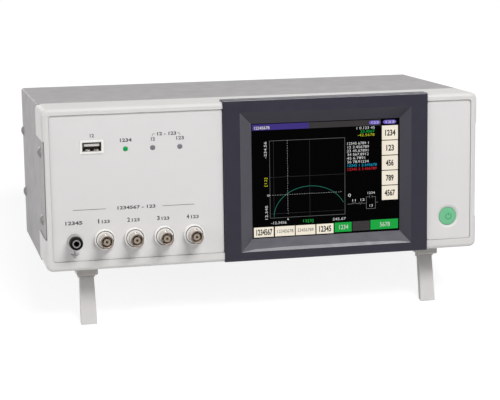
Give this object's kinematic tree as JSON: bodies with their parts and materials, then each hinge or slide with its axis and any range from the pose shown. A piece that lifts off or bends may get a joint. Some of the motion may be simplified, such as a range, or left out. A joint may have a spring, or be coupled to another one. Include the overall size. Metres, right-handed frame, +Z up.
{
  "type": "impedance analyzer",
  "caption": "Bench impedance analyzer in a low metal case with a touch screen, a row of coaxial jacks, a power button and fold-out front legs.",
  "frame": {"origin": "on the table, under the middle of the whole object's box", "axes": "+X to the right as seen from the front, +Y from the front to the rear, +Z up; the case leans back on its opened front legs"},
  "size_m": [0.3326, 0.2018, 0.1645],
  "materials": {
    "pale_plastic": "fine moulded grain",
    "dark_plastic": "fine moulded grain, satin",
    "label_panel": "printed sheet, satin",
    "screen_glass": "clear touch glass",
    "display_cell": "display cell",
    "plated_sheet": "plated sheet steel",
    "grey_paint": "fine textured paint",
    "screw_steel": "nickel plated",
    "white_plastic": "satin",
    "bright_metal": "nickel plated",
    "satin_metal": "satin nickel",
    "black_plastic": "satin",
    "green_button": "translucent moulding",
    "circuit_board": "solder mask",
    "rocker_plastic": "glossy moulding",
    "green_lamp": "lit lens",
    "grey_lamp": "unlit lens",
    "cream_plastic": "moulded insulator",
    "contact_metal": "plated contact",
    "foot_plastic": "moulded",
    "leg_paint": "satin paint",
    "foot_rubber": "moulded rubber"
  },
  "bodies": {
    "case": {"front_bezel": "pale_plastic", "display_bezel": "dark_plastic", "left_panel": "label_panel", "right_panel": "label_panel", "touch_panel": "screen_glass", "lcd_module": "display_cell", "front_subpanel": "plated_sheet", "top_cover": "grey_paint", "bottom_tray": "grey_paint", "rear_panel": "grey_paint", "side_screws": "screw_steel", "foot_screws": "screw_steel", "rear_screws": "screw_steel", "bnc_bushes": "white_plastic", "jack_nuts": "bright_metal", "guard_jack_body": "satin_metal", "guard_jack_ring": "black_plastic", "guard_jack_sleeve": "bright_metal", "usb_frame": "white_plastic", "usb_shell": "bright_metal", "usb_tongue": "white_plastic", "power_switch": "black_plastic", "front_board": "circuit_board", "main_board": "circuit_board", "shield_can": "plated_sheet", "power_supply": "plated_sheet", "mains_inlet": "black_plastic", "inlet_pins": "bright_metal", "rocker_frame": "black_plastic", "io_connector_shell": "bright_metal", "io_connector_insert": "black_plastic", "io_jack_screws": "bright_metal", "usb_b_port": "bright_metal", "option_plate": "plated_sheet", "sensor_jack": "black_plastic", "bnc_shell_1": "bright_metal", "bnc_insulator_1": "cream_plastic", "bnc_contact_1": "contact_metal", "bnc_shell_2": "bright_metal", "bnc_insulator_2": "cream_plastic", "bnc_contact_2": "contact_metal", "bnc_shell_3": "bright_metal", "bnc_insulator_3": "cream_plastic", "bnc_contact_3": "contact_metal", "bnc_shell_4": "bright_metal", "bnc_insulator_4": "cream_plastic", "bnc_contact_4": "contact_metal", "status_lamp_1": "green_lamp", "status_lamp_2": "grey_lamp", "status_lamp_3": "grey_lamp", "left_front_foot": "foot_plastic", "left_hinge_pin": "screw_steel", "left_rear_foot": "foot_rubber", "right_front_foot": "foot_plastic", "right_hinge_pin": "screw_steel", "right_rear_foot": "foot_rubber"},
    "left_leg": {"left_leg": "leg_paint"},
    "right_leg": {"right_leg": "leg_paint"},
    "power_button": {"power_button": "green_button"},
    "main_rocker": {"main_rocker": "rocker_plastic"}
  },
  "joints": [
    {"name": "left_leg_hinge", "type": "hinge", "parent": "case", "child": "left_leg", "pos_m": [-0.133, -0.06546, 0.03622], "axis": [1, 0, 0], "range_deg": [0, 102]},
    {"name": "right_leg_hinge", "type": "hinge", "parent": "case", "child": "right_leg", "pos_m": [0.133, -0.06546, 0.03622], "axis": [1, 0, 0], "range_deg": [0, 102]},
    {"name": "power_button_press", "type": "slide", "parent": "case", "child": "power_button", "axis": [0, 0.9615, -0.2749], "range_m": [0, 0.0015], "stiffness_N_per_m": 600, "springref_m": -0.0005},
    {"name": "main_rocker_hinge", "type": "hinge", "parent": "case", "child": "main_rocker", "pos_m": [0.119, 0.07916, 0.06622], "axis": [1, 0, 0], "range_deg": [-18, 0]}
  ]
}
